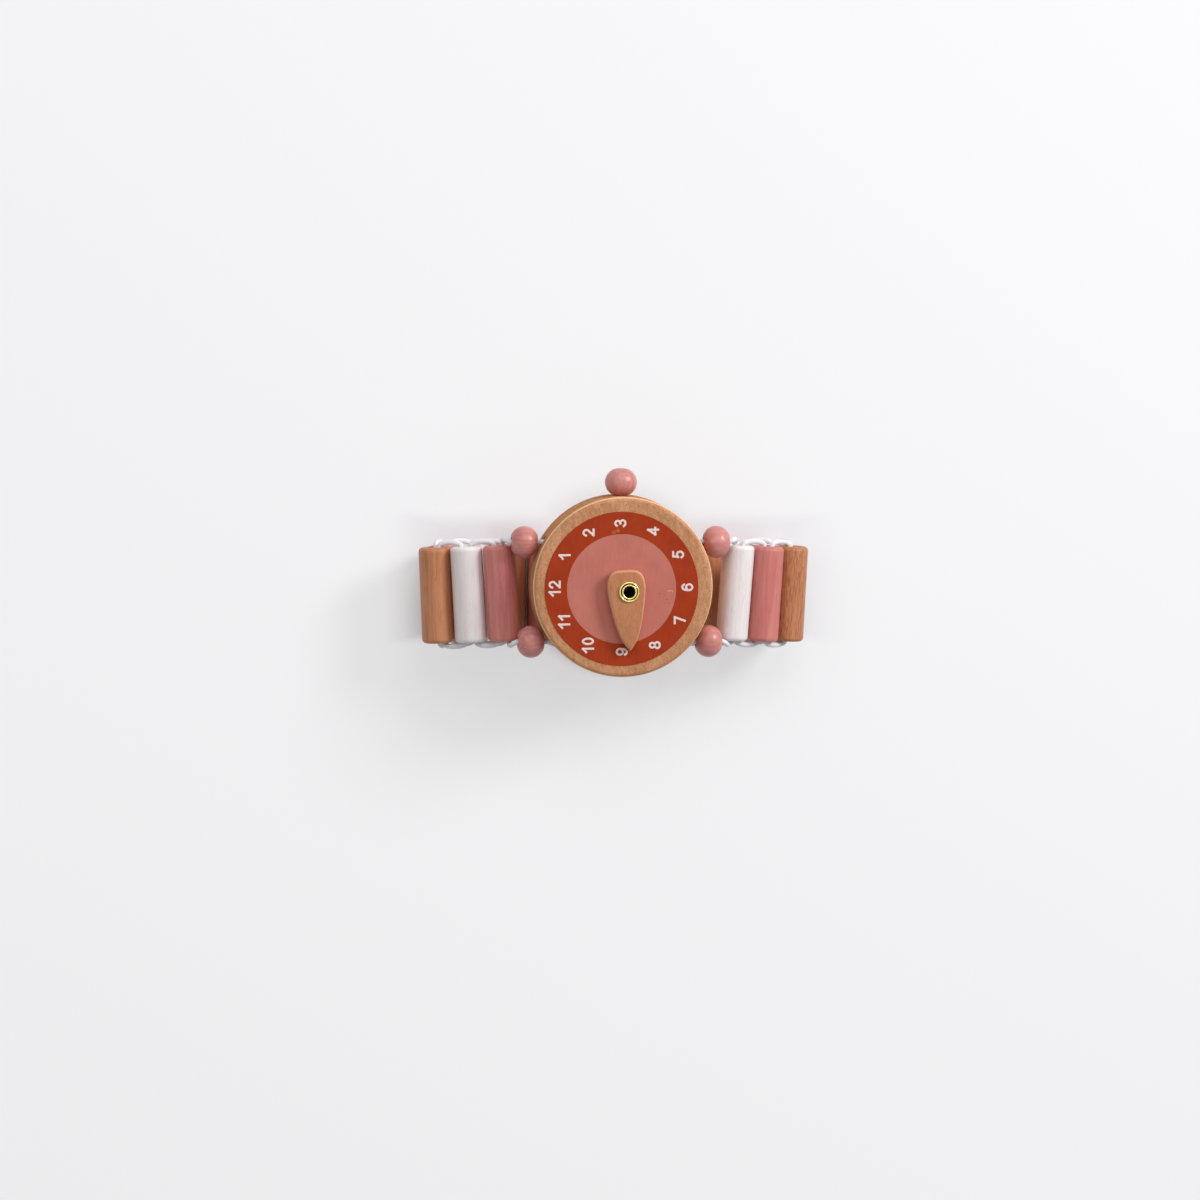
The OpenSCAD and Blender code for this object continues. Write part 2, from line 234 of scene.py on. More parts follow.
def paintedWood(name, look, middle, turn=(0.0, 0.0, 0.0), offset=(0.0, 0.0, 0.0), bareAndReflectedSide=None):
    shine = look.get("shine", paintFinish["shine"])
    material, bench, shader = startFinish(name, {"Specular IOR Level": shine})
    place = pieceCoordinates(bench, middle, turn)
    tone, pores = grainOf(bench, place, offset, look)
    colour = woodColour(bench, tone, pores, look)
    if bareAndReflectedSide:  # on one side, partly wood showing through thin paint and partly a painted reflection of the case's wood
        x, y, z = bench.apart(place)
        ragged = bench.noise(bench.stretched(place, bareAndReflectedSide["grain"]), 1.0)
        ragged = ragged * bareAndReflectedSide["ragged"] - bareAndReflectedSide["ragged"] / 2
        bareAndReflected = (x + ragged).smooth(bareAndReflectedSide["to"], bareAndReflectedSide["from"])
        colour = bench.mixed(bareAndReflected * bareAndReflectedSide["share"], colour, bareAndReflectedSide["colour"])
    feed(bench, shader, "Base Color", colour)
    cloud = bench.noise(place, paintFinish["cloudScale"])
    feed(bench, shader, "Roughness", around(look["rough"], paintFinish["spread"], cloud))
    fine = bench.noise(place, paintFinish["fineScale"])
    height = tone * paintFinish["toneHeight"] - pores * paintFinish["poreDepth"]
    giveBump(bench, shader, look["bump"], height + fine * paintFinish["fineHeight"])
    return material


def dress(node, material):
    shown = nodes[node]
    shown.data.materials.clear()
    shown.data.materials.append(material)


def giveObject(name, mesh, material):
    thing = bpy.data.objects.new(name, mesh)
    bpy.context.scene.collection.objects.link(thing)
    mesh.materials.clear()
    mesh.materials.append(material)
    return thing


weldDistance = 1e-7  # metres
sharpAngle = 0.7  # radians between two faces, from which their edge is drawn sharp


def meshFrom(name, build):
    shape = bmesh.new()
    build(shape)
    bmesh.ops.remove_doubles(shape, verts=shape.verts, dist=weldDistance)
    bmesh.ops.recalc_face_normals(shape, faces=shape.faces)
    for face in shape.faces:
        face.smooth = True
    for edge in shape.edges:
        edge.smooth = edge.calc_face_angle(0.0) < sharpAngle
    mesh = bpy.data.meshes.new(name)
    shape.to_mesh(mesh)
    shape.free()
    return mesh


def ringMesh(name, rings):
    # closed rings of points in metres, each joined to the next one and the last to the first
    def build(shape):
        rows = [[shape.verts.new(point) for point in ring] for ring in rings]
        for row, following in zip(rows, rows[1:] + rows[:1]):
            for i in range(len(row)):
                j = (i + 1) % len(row)
                shape.faces.new((row[i], row[j], following[j], following[i]))
    return meshFrom(name, build)


# Camera
view = {"distance": 1000, "lensWidth": 252.1, "fromLeft": 6.5, "fromTop": 5.0, "roll": 0.4,
        "caseAt": (623.5, 587.5), "imageSize": 1200, "sensor": 36, "near": 0.01, "far": 20}


def makeCamera():
    perPixel = view["lensWidth"] / view["imageSize"]
    half = view["imageSize"] / 2
    caseFront = Vector((casePlace.x, casePlace.y, dialFront))
    back = Vector((-math.sin(math.radians(view["fromLeft"])), math.sin(math.radians(view["fromTop"])), 0))
    back.z = math.sqrt(1 - back.length_squared)
    right = Vector((0, 1, 0)).cross(back).normalized()
    up = back.cross(right)
    roll = math.radians(view["roll"])
    right, up = right * math.cos(roll) + up * math.sin(roll), up * math.cos(roll) - right * math.sin(roll)
    acrossAt, downAt = view["caseAt"]
    aim = caseFront - right * (acrossAt - half) * perPixel - up * (half - downAt) * perPixel
    lens = bpy.data.cameras.new("photoCamera")
    lens.sensor_width = view["sensor"]
    lens.lens = view["sensor"] * view["distance"] / view["lensWidth"]
    lens.clip_start, lens.clip_end = view["near"], view["far"]
    camera = bpy.data.objects.new("photoCamera", lens)
    turn = Matrix((right, up, back)).transposed()
    camera.matrix_world = Matrix.Translation((aim + back * view["distance"]) * mm) @ turn.to_4x4()
    bpy.context.scene.collection.objects.link(camera)
    bpy.context.scene.camera = camera


makeCamera()
print("camera placed")

# Case
# the edge colour is partly worn pale wood and partly a painted highlight on the front edge's rounding
caseLook = {"light": paint(214, 160, 119), "dark": paint(171, 113, 77), "pore": paint(134, 80, 49),
            "edge": paint(242, 194, 150), "rough": 0.45, "spread": 0.1, "coatRough": 0.25,
            "draw": 0.3, "streakScale": 1.6, "broadScale": 0.25,
            "poreScale": 3.6, "poreFrom": 0.58, "poreShare": 0.4,
            "speckleScale": 4.2, "speckleShare": 0.4, "speckleFrom": 0.35, "speckleTo": 0.7,
            "turn": 12, "offset": (3.0, 1.0, 7.0), "bump": 0.25,
            "toneHeight": 0.3, "poreDepth": 0.5, "speckleHeight": 0.3,
            "round": 0.9, "lineFrom": -8, "lineTo": 40, "lineSoft": 9,
            "wearAndSheenScale": 0.7, "wearAndSheenFrom": 0.2, "wearAndSheenTo": 0.5, "wearAndSheenLeast": 0.55, "wearAndSheenMost": 0.95,
            "varnish": 0.35, "varnishFrom": 20, "varnishTo": 70}


def caseWood():
    look = caseLook
    constants = {"Coat Roughness": look["coatRough"], "Specular IOR Level": 0.0}
    material, bench, shader = startFinish("caseWood", constants)
    place = pieceCoordinates(bench, casePlace, (0, 0, math.radians(look["turn"])))
    tone, pores = grainOf(bench, place, look["offset"], look)
    speckle = bench.noise(place, look["speckleScale"], rough=0.7)
    speckle = speckle.smooth(look["speckleFrom"], look["speckleTo"])
    mottled = tone * (1 - look["speckleShare"]) + speckle * look["speckleShare"]
    colour = woodColour(bench, mottled, pores, look)
    # a pale line runs round the turned front edge, measured by the angle round the edge's rounding; it is
    # partly worn pale wood and partly a painted highlight
    x, y, z = bench.apart(place)
    past = (x * x + y * y) ** 0.5 - (caseRadius - look["round"])
    over = z - (caseThick / 2 - look["round"])
    angle = over.maths("ARCTAN2", past) * (180 / math.pi)
    lower, upper, soft = look["lineFrom"], look["lineTo"], look["lineSoft"]
    line = angle.smooth(lower - soft, lower + soft) * angle.smooth(upper + soft, upper - soft)
    feed(bench, shader, "Coat Weight", angle.smooth(look["varnishFrom"], look["varnishTo"]) * look["varnish"])
    wearAndSheen = bench.noise(place, look["wearAndSheenScale"], detail=3.0, rough=0.7)
    wearAndSheen = wearAndSheen.smooth(look["wearAndSheenFrom"], look["wearAndSheenTo"], look["wearAndSheenLeast"], look["wearAndSheenMost"])
    feed(bench, shader, "Base Color", bench.mixed(line * wearAndSheen, colour, look["edge"]))
    feed(bench, shader, "Roughness", around(look["rough"], look["spread"], speckle))
    height = tone * look["toneHeight"] - pores * look["poreDepth"] + speckle * look["speckleHeight"]
    giveBump(bench, shader, look["bump"], height)
    return material


dress("case", caseWood())

# Dial print
dialLook = {"ring": paint(167, 59, 24), "ringDark": paint(149, 46, 17), "bare": paint(206, 124, 76),
            "centre": paint(197, 120, 106), "centreDark": paint(185, 108, 96), "pale": paint(232, 172, 150),
            "darkSpot": paint(120, 60, 56), "rough": 0.45, "spread": 0.1, "chipRough": 0.2, "shine": 0.15,
            "broadScale": 0.16, "fineScale": 1.7, "fineDraw": 0.18, "raggedScale": 3.2,
            "speckScale": 8.5, "speckDraw": 1.6,
            "toneFrom": 0.3, "toneTo": 0.7, "broadShare": 0.5, "fineShare": 0.3, "raggedShare": 1.2,
            "outlineLeast": 0.6, "outlineRagged": 0.9, "chipFrom": 0.25, "chipTo": 0.37, "chipShare": 0.75,
            "darkSpotFrom": 0.25, "darkSpotTo": 0.45, "darkSpotShare": 0.75,
            "spotShare": 0.4, "speckFrom": 0.76, "speckTo": 0.88,
            "bump": 0.18, "fineHeight": 0.25, "chipDepth": 0.8, "raggedHeight": 0.15,
            "chips": [(-1.3, 12.1, 1.4, 0.68), (-0.7, 12.4, 0.9, 0.5), (-2.1, 11.8, 0.9, 0.5),
                      (3.3, 13.4, 1.3, 0.42), (-8.3, 9.0, 1.1, 0.36)],
            "scratches": [(10.25, -0.42, 0.6, 0.14), (10.75, -0.5, 0.16, 0.3), (9.8, -0.5, 0.2, 0.12)],
            "darkSpots": [(8.0, -1.0, 0.2, 0.2), (9.6, -2.3, 0.22, 0.16), (10.2, -3.1, 0.2, 0.14),
                      (9.3, -3.0, 0.14, 0.12)]}


def spotMask(x, y, marks, drawn):
    # marks are spots as x, y, half length along X, and half width if they are drawn or else strength
    total = None
    for spotX, spotY, size, other in marks:
        acrossX, acrossY = (x - spotX) / size, (y - spotY) / (other if drawn else size)
        away = (acrossX * acrossX + acrossY * acrossY) ** 0.5
        spot = away.smooth(1.0, 0.0) * (1.0 if drawn else other)
        total = spot if total is None else total + spot
    return total


def printFinish(name, base, dark, marks, worn, darkSpots=()):
    look = dialLook
    material, bench, shader = startFinish(name, {"Specular IOR Level": look["shine"]})
    place = pieceCoordinates(bench, printMiddle)
    x, y, z = bench.apart(place)
    broad = bench.noise(place, look["broadScale"]).smooth(look["toneFrom"], look["toneTo"])
    drawn = bench.stretched(place, (1.0, look["fineDraw"], 1.0))
    fine = bench.noise(drawn, look["fineScale"], detail=3.0, rough=0.6)
    fine = fine.smooth(look["toneFrom"], look["toneTo"])
    ragged = bench.noise(place, look["raggedScale"], detail=4.0, rough=0.75)
    tone = broad * look["broadShare"] + fine * look["fineShare"] + (ragged - 0.5) * look["raggedShare"]
    colour = bench.mixed(tone, base, dark)
    if darkSpots:
        outline = look["outlineLeast"] + ragged * look["outlineRagged"]
        chip = (spotMask(x, y, marks, True) * outline).smooth(look["chipFrom"], look["chipTo"])
        # a few small spots are made darker
        darkSpot = (spotMask(x, y, darkSpots, True) * outline).smooth(look["darkSpotFrom"], look["darkSpotTo"])
        colour = bench.mixed(darkSpot * look["darkSpotShare"], colour, look["darkSpot"])
    else:
        pressed = bench.stretched(place, (1.0, look["speckDraw"], 1.0))
        speck = bench.noise(pressed, look["speckScale"], detail=3.0, rough=0.7)
        chip = spotMask(x, y, marks, False) * look["spotShare"] + speck
        chip = chip.smooth(look["speckFrom"], look["speckTo"])
    feed(bench, shader, "Base Color", bench.mixed(chip * look["chipShare"], colour, worn))
    rough = fine * look["spread"] + chip * look["chipRough"] + (look["rough"] - look["spread"] / 2)
    feed(bench, shader, "Roughness", rough)
    height = fine * look["fineHeight"] - chip * look["chipDepth"] + ragged * look["raggedHeight"]
    giveBump(bench, shader, look["bump"], height)
    return material


ringPaint = printFinish("ringPaint", dialLook["ring"], dialLook["ringDark"],
                        dialLook["chips"], dialLook["bare"])
centrePaint = printFinish("centrePaint", dialLook["centre"], dialLook["centreDark"],
                          dialLook["scratches"], dialLook["pale"], dialLook["darkSpots"])
dress("dial_ring", ringPaint)
dress("dial_centre", centrePaint)
print("case and dial print finished")


# Round threads along routes, for the numbers' strokes and for the elastic
def threadTree():
    tree = bpy.data.node_groups.new("threadTube", "GeometryNodeTree")
    given = {"Geometry": "Geometry", "Radius": "Float", "Sides": "Int", "Material": "Material"}
    for name, kind in given.items():
        tree.interface.new_socket(name, in_out="INPUT", socket_type="NodeSocket" + kind)
    tree.interface.new_socket("Geometry", in_out="OUTPUT", socket_type="NodeSocketGeometry")
    bench = nodeBench(tree)

    def stored(geometry, name, value, kind="FLOAT"):
        return bench.node("GeometryNodeStoreNamedAttribute", {"data_type": kind, "domain": "POINT"},
                          {"Geometry": geometry, "Name": name, "Value": value})

    def recalled(name):
        return bench.node("GeometryNodeInputNamedAttribute", {"data_type": "FLOAT"}, {"Name": name})
    handed = bench.node("NodeGroupInput")
    route = bench.node("GeometryNodeMeshToCurve", {}, {"Mesh": handed})
    route = bench.node("GeometryNodeSetCurveRadius", {}, {"Curve": route, "Radius": recalled("thick")})
    route = stored(route, "reach", bench.node("GeometryNodeSplineParameter", pick="Length"))
    ring = bench.node("GeometryNodeCurvePrimitiveCircle", {},
                      {"Resolution": handed.out("Sides"), "Radius": handed.out("Radius")})
    ring = stored(ring, "round", bench.node("GeometryNodeSplineParameter", pick="Factor"))
    tube = bench.node("GeometryNodeCurveToMesh", {},
                      {"Curve": route, "Profile Curve": ring, "Fill Caps": True})
    spun = recalled("round") * (2 * math.pi)
    braid = bench.node("ShaderNodeCombineXYZ", {},
                       {0: spun.single("COSINE"), 1: spun.single("SINE"), 2: recalled("reach")})
    tube = stored(tube, "braid", braid, "FLOAT_VECTOR")
    tube = bench.node("GeometryNodeSetShadeSmooth", {}, {"Geometry": tube, "Shade Smooth": True})
    tube = bench.node("GeometryNodeRealizeInstances", {}, {"Geometry": tube})
    tube = bench.node("GeometryNodeSetMaterial", {}, {"Geometry": tube, "Material": handed.out("Material")})
    bench.node("NodeGroupOutput", {}, {"Geometry": tube})
    return tree


threads = threadTree()


def threadMesh(name, routes, radius, sides, material):
    # each route is a list of (point in millimetres, share of the radius), all in one mesh
    points, edges, shares = [], [], []
    for route in routes:
        first = len(points)
        points += [point * mm for point, share in route]
        shares += [share for point, share in route]
        edges += [(i, i + 1) for i in range(first, len(points) - 1)]
    line = bpy.data.meshes.new(name + "Route")
    line.from_pydata(points, edges, [])
    line.attributes.new("thick", "FLOAT", "POINT").data.foreach_set("value", shares)
    holder = giveObject(name + "Route", line, material)
    worker = holder.modifiers.new("threadTube", "NODES")
    worker.node_group = threads
    sockets = {item.name: item.identifier for item in threads.interface.items_tree if item.in_out == "INPUT"}
    worker[sockets["Radius"]] = radius * mm
    worker[sockets["Sides"]] = sides
    worker[sockets["Material"]] = material
    bpy.context.view_layer.update()
    mesh = bpy.data.meshes.new_from_object(holder.evaluated_get(bpy.context.evaluated_depsgraph_get()))
    bpy.data.objects.remove(holder)
    shape = bmesh.new()
    shape.from_mesh(mesh)
    bmesh.ops.recalc_face_normals(shape, faces=shape.faces)
    shape.to_mesh(mesh)
    shape.free()
    mesh.name = name
    return mesh


# Dial numbers: round-ended strokes in a box one high, each number with the width it takes up
numbers = {"radius": 13.85, "height": 2.66, "stroke": 0.17, "gap": 0.15, "turn": 0.8, "raise": 0.03,
           "nudge": {3: (-0.2, 0.05), 4: (-0.2, 0.08), 5: (0, 0.13), 6: (0.05, 0.13), 7: (0.27, 0.16),
                     9: (-0.08, 0.58), 10: (-0.27, 0.2), 11: (-0.2, 0.13), 12: (-0.3, 0.3)},
           "sides": 12, "bowSteps": 20, "endAngles": (85, 68, 48, 25),
           "colour": paint(236, 218, 214), "shade": paint(216, 192, 186), "shadeShare": 0.5,
           "patchScale": 2.2, "patchFrom": 0.35, "patchTo": 0.65,
           "rough": 0.42, "patchRough": 0.15, "shine": 0.45}


def bow(x, y, wide, tall, start, stop):
    # points round part of an ellipse
    steps = numbers["bowSteps"]
    angles = [math.radians(start + (stop - start) * i / steps) for i in range(steps + 1)]
    return [(x + wide * math.cos(angle), y + tall * math.sin(angle)) for angle in angles]


six = [bow(0.34, 0.35, 0.23, 0.25, 180, 540), [(0.11, 0.38)] + bow(0.36, 0.53, 0.25, 0.37, 180, 38)]
figures = {
    "0": (0.66, [bow(0.33, 0.5, 0.22, 0.4, 90, 450)]),
    "1": (0.5, [[(0.12, 0.66), (0.39, 0.9)], [(0.39, 0.9), (0.39, 0.1)]]),
    "2": (0.68, [bow(0.32, 0.66, 0.22, 0.24, 170, -32) + [(0.13, 0.13)], [(0.12, 0.1), (0.57, 0.1)]]),
    "3": (0.68, [bow(0.31, 0.695, 0.2, 0.205, 155, -90), bow(0.31, 0.31, 0.24, 0.21, 90, -155)]),
    "4": (0.74, [[(0.48, 0.1), (0.48, 0.9)], [(0.48, 0.9), (0.1, 0.33)], [(0.1, 0.33), (0.64, 0.33)]]),
    "5": (0.66, [[(0.53, 0.9), (0.19, 0.9)], [(0.19, 0.9), (0.14, 0.5)],
                 bow(0.32, 0.35, 0.24, 0.25, 140, -150)]),
    "6": (0.68, six),
    "7": (0.68, [[(0.1, 0.9), (0.57, 0.9)], [(0.57, 0.9), (0.27, 0.1)]]),
    "8": (0.68, [bow(0.34, 0.7, 0.19, 0.2, -90, 270), bow(0.34, 0.3, 0.24, 0.2, 90, 450)]),
    "9": (0.68, [[(0.68 - x, 1 - y) for x, y in path] for path in six]),
}


def numberPaint():
    material, bench, shader = startFinish("numberPaint", {"Specular IOR Level": numbers["shine"]})
    place = pieceCoordinates(bench, casePlace)
    patchy = bench.noise(place, numbers["patchScale"], detail=3.0, rough=0.6)
    patchy = patchy.smooth(numbers["patchFrom"], numbers["patchTo"])
    colour = bench.mixed(patchy * numbers["shadeShare"], numbers["colour"], numbers["shade"])
    feed(bench, shader, "Base Color", colour)
    feed(bench, shader, "Roughness", patchy * numbers["patchRough"] + numbers["rough"])
    return material


def roundEnded(path, radius):
    # adds a round end before and after the path
    ends = [(math.sin(math.radians(angle)), math.cos(math.radians(angle))) for angle in numbers["endAngles"]]
    before, after = (path[0] - path[1]).normalized(), (path[-1] - path[-2]).normalized()
    head = [(path[0] + before * radius * far, share) for far, share in ends]
    tail = [(path[-1] + after * radius * far, share) for far, share in reversed(ends)]
    return head + [(point, 1.0) for point in path] + tail


def numberRoutes(radius):
    routes = []
    tall, turn = numbers["height"], math.radians(numbers["turn"])
    for hour in range(1, 13):
        text = str(hour)
        width = sum(figures[figure][0] for figure in text) + numbers["gap"] * (len(text) - 1)
        angle = math.radians(180 - 30 * hour) + turn
        offX, offY = numbers["nudge"].get(hour, (0, 0))
        place = (numbers["radius"] * math.cos(angle) + offX, numbers["radius"] * math.sin(angle) + offY, 0)
        fit = Matrix.Translation(place) @ Matrix.Rotation(math.pi / 2 + turn, 4, "Z") @ Matrix.Scale(tall, 4)
        along = -width / 2
        for figure in text:
            for path in figures[figure][1]:
                routes.append(roundEnded([fit @ Vector((along + x, y - 0.5, 0)) for x, y in path], radius))
            along += figures[figure][0] + numbers["gap"]
    return routes


def makeNumbers():
    radius = numbers["height"] * numbers["stroke"] / 2
    finish = numberPaint()
    mesh = threadMesh("dialNumbers", numberRoutes(radius), radius, numbers["sides"], finish)
    flat = Matrix.Diagonal((1, 1, numbers["raise"] / (2 * radius), 1))
    middle = (printMiddle.x * mm, printMiddle.y * mm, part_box("dial_ring")[1].z)
    mesh.transform(Matrix.Translation(middle) @ flat)
    piece = giveObject("dial_numbers", mesh, finish)
    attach(piece, "case")


makeNumbers()
print("dial numbers set")

# Hand
hand = {"reach": 12.5, "tail": 4.5, "width": 8.0, "height": 2.4, "above": 0.25,
        "turn": 2.5, "off": 0.45, "lean": 0.3, "bore": 3.36, "boreEdge": 0.12,
        "round": 0.6, "under": 0.2, "edgeSteps": 7, "between": 12,
        "outline": [(0, -1.0), (0.1, -0.965), (0.23, -0.905), (0.46, -0.78), (0.7, -0.53),
                    (0.87, -0.27), (0.96, -0.08), (1.0, 0.12), (0.985, 0.38), (0.93, 0.62),
                    (0.82, 0.82), (0.62, 0.95), (0.36, 0.995), (0, 1.0)]}
# the edge colour is a painted highlight on the hand's rounded upper edge
handLook = {"light": paint(194, 133, 94), "dark": paint(178, 115, 78), "pore": paint(150, 94, 64),
            "rough": 0.5, "draw": 0.3, "streakScale": 2.0, "broadScale": 0.3,
            "poreScale": 4.2, "poreFrom": 0.6, "poreShare": 0.3, "bump": 0.22,
            "turn": 4, "offset": (2.0, 5.0, 1.0),
            "edge": paint(236, 172, 140), "edgeFrom": -0.03, "edgeTo": -0.14, "edgeHighlightShare": 0.55}
handBottom = dialFront + hand["above"]
handTop = handBottom + hand["height"]


def handCorners(inset):
    # one half as width and length shares, mirrored, and then smoothed by a closed spline
    wide, low, high = hand["width"] / 2 - inset, hand["reach"] - inset, hand["tail"] - inset
    half = [Vector((x * wide, y * (high if y > 0 else low), 0)) for x, y in hand["outline"]]
    ring = half + [Vector((-p.x, p.y, 0)) for p in reversed(half[1:-1])]
    ring = [p + Vector((hand["lean"] * max(0, -p.y / low) - hand["off"], 0, 0)) for p in ring]
    count = len(ring)
    dense = []
    for i in range(count):
        a, b, c, d = (ring[(i + j) % count] for j in (-1, 0, 1, 2))
        sharp = i == 0 or i == count - 1  # the tip stays pointed
        pull, ease, lag = c - a, 2 * a - 5 * b + 4 * c - d, 3 * b - a - 3 * c + d
        for step in range(hand["between"]):
            t = step / hand["between"]
            curve = 0.5 * (2 * b + pull * t + ease * t * t + lag * t ** 3)
            dense.append(b.lerp(c, t) if sharp else curve)
    return dense


def makeHand():
    under, over = hand["under"], hand["round"]
    quarter = [math.pi / 2 * i / hand["edgeSteps"] for i in range(hand["edgeSteps"] + 1)]
    # each layer is how far in its outline lies, and its height
    layers = [(under * (1 - math.sin(turn)), handBottom + under * (1 - math.cos(turn))) for turn in quarter]
    layers += [(over * (1 - math.cos(turn)), handTop - over * (1 - math.sin(turn))) for turn in quarter]
    rings = [[Vector((p.x, p.y, z)) for p in handCorners(inset)] for inset, z in layers]
    bore, edge = hand["bore"] / 2, hand["boreEdge"]
    wall = ((bore + edge, handTop), (bore, handTop - edge),
            (bore, handBottom + edge), (bore + edge, handBottom))
    for radius, z in wall:
        rings.append([Vector((radius * p.x / p.length, radius * p.y / p.length, z)) for p in handCorners(0)])
    turn = Matrix.Rotation(math.radians(hand["turn"]), 4, "Z")
    place = Matrix.Scale(mm, 4) @ Matrix.Translation((hubPlace.x, hubPlace.y, 0)) @ turn
    mesh = ringMesh("hand", [[place @ p for p in ring] for ring in rings])
    along = (0, 0, math.radians(handLook["turn"]))
    finish = bareWood("handWood", handLook, (hubPlace.x, hubPlace.y, handTop), along, handLook["offset"])
    piece = giveObject("hand_wood", mesh, finish)
    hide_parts("hand")
    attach(piece, "hand")


makeHand()

# Brass eyelet
eyelet = {"hole": 1.25, "barrel": 1.6, "gap": 0.08, "ringAt": 1.45, "ringRound": 0.2, "ringUp": 0.42,
          "grooveAt": 1.69, "grooveUp": 0.2, "lipAt": 1.93, "lipRound": 0.21,
          "backAt": 1.825, "backRound": 0.575, "seat": 0.05, "arcSteps": 14, "backSteps": 20, "segments": 96}
# the colour given for inside the bore is painted shade
brassLook = {"colour": paint(255, 244, 172), "deep": paint(238, 210, 122), "groove": paint(112, 88, 30),
             "inside": paint(34, 24, 16), "roughFrom": 0.16,
             "cloudScale": 0.9, "cloudFrom": 0.3, "cloudTo": 0.7, "cloudRough": 0.08,
             "rubScale": 5.0, "rubDraw": 6.0, "rubRough": 0.05, "insideRough": 0.6,
             "bump": 0.12, "bumpDepth": 0.02,
             "grooveIn": (-0.2, -0.09), "grooveOut": (0.17, 0.07), "grooveUp": (0.0, 0.15),
             "wallOut": (0.03, 0.005), "wallUp": (0.25, 0.0)}


def brassFinish():
    look = brassLook
    material, bench, shader = startFinish("brass", {})
    place = pieceCoordinates(bench, (hubPlace.x, hubPlace.y, handTop))
    x, y, z = bench.apart(place)
    radius = (x * x + y * y) ** 0.5
    cloud = bench.noise(place, look["cloudScale"], detail=3.0, rough=0.6)
    cloud = cloud.smooth(look["cloudFrom"], look["cloudTo"])
    rub = bench.noise(bench.stretched(place, (1.0, 1.0, look["rubDraw"])), look["rubScale"])
    inner, outer = ([eyelet["grooveAt"] + off for off in look[side]] for side in ("grooveIn", "grooveOut"))
    groove = radius.smooth(*inner) * radius.smooth(*outer) * z.smooth(*look["grooveUp"])
    # the barrel's wall is painted dark, as painted shade down the bore, and made dull and not metallic
    wall = [eyelet["hole"] + off for off in look["wallOut"]]
    inside = radius.smooth(*wall) * z.smooth(*look["wallUp"])
    colour = bench.mixed(cloud, look["colour"], look["deep"])
    colour = bench.mixed(groove, colour, look["groove"])
    feed(bench, shader, "Base Color", bench.mixed(inside, colour, look["inside"]))
    feed(bench, shader, "Metallic", 1.0 - inside)
    rough = cloud * look["cloudRough"] + rub * look["rubRough"] + inside * look["insideRough"]
    feed(bench, shader, "Roughness", rough + look["roughFrom"])
    giveBump(bench, shader, look["bump"], rub, look["bumpDepth"])
    return material


def makeEyelet():
    def arc(at, height, size, start, stop, steps=eyelet["arcSteps"]):
        angles = [math.radians(start + (stop - start) * i / steps) for i in range(steps + 1)]
        return [(at + size * math.cos(angle), height + size * math.sin(angle)) for angle in angles]
    front = handTop + eyelet["gap"]
    back = caseBack - eyelet["seat"]
    profile = arc(eyelet["ringAt"], front + eyelet["ringUp"], eyelet["ringRound"], 180, 0)
    profile += [(eyelet["grooveAt"], front + eyelet["grooveUp"])]
    profile += arc(eyelet["lipAt"], front + eyelet["lipRound"], eyelet["lipRound"], 165, -90)
    profile += [(eyelet["barrel"], front), (eyelet["barrel"], back)]
    rim = eyelet["backRound"]
    profile += arc(eyelet["backAt"], back - rim, rim, 90, -180, eyelet["backSteps"])
    rings = []
    for i in range(eyelet["segments"]):
        angle = 2 * math.pi * i / eyelet["segments"]
        spots = [(hubPlace.x + r * math.cos(angle), hubPlace.y + r * math.sin(angle), z) for r, z in profile]
        rings.append([(x * mm, y * mm, z * mm) for x, y, z in spots])
    piece = giveObject("eyelet_brass", ringMesh("eyelet", rings), brassFinish())
    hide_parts("eyelet")
    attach(piece, "case")


makeEyelet()
print("hand and eyelet finished")

# Beads
pinkLook = {"light": paint(209, 131, 123), "dark": paint(192, 110, 102), "pore": paint(170, 88, 80),
            "rough": 0.42, "draw": 0.06, "streakScale": 1.3, "broadScale": 0.25,
            "poreScale": 3.6, "poreFrom": 0.6, "poreShare": 0.25, "bump": 0.25}
roundLook = dict(pinkLook, light=paint(208, 137, 130), dark=paint(186, 111, 104), pore=paint(164, 88, 82),
                 rough=0.33, shine=0.5)
whiteLook = {"light": paint(238, 231, 230), "dark": paint(228, 219, 218), "pore": paint(204, 194, 194),
             "rough": 0.42, "draw": 0.05, "streakScale": 1.4, "broadScale": 0.25,
             "poreScale": 3.6, "poreFrom": 0.6, "poreShare": 0.3, "bump": 0.3}
tanLook = {"light": paint(196, 134, 96), "dark": paint(178, 112, 76), "pore": paint(152, 88, 56),
           "rough": 0.42, "draw": 0.04, "streakScale": 1.5, "broadScale": 0.22,
           "poreScale": 4.0, "poreFrom": 0.58, "poreShare": 0.3, "bump": 0.25}
grainyTan = dict(tanLook, pore=paint(138, 80, 46), poreShare=0.65, poreFrom=0.52, draw=0.035, poreScale=6.5)
# the strip is partly wood through thin paint and partly a painted reflection of the case's wood
bareAndReflectedStrip = {"from": -3.2, "to": -1.9, "share": 0.6, "colour": paint(214, 172, 142),
             "grain": (0.6, 0.12, 0.6), "ragged": 1.6}
pegLook = {"light": paint(226, 190, 150), "dark": paint(204, 162, 120), "pore": paint(168, 122, 82),
           "rough": 0.6, "draw": 0.12, "streakScale": 2.5, "broadScale": 0.5,
           "poreScale": 4.5, "poreFrom": 0.58, "poreShare": 0.5, "bump": 0.3}

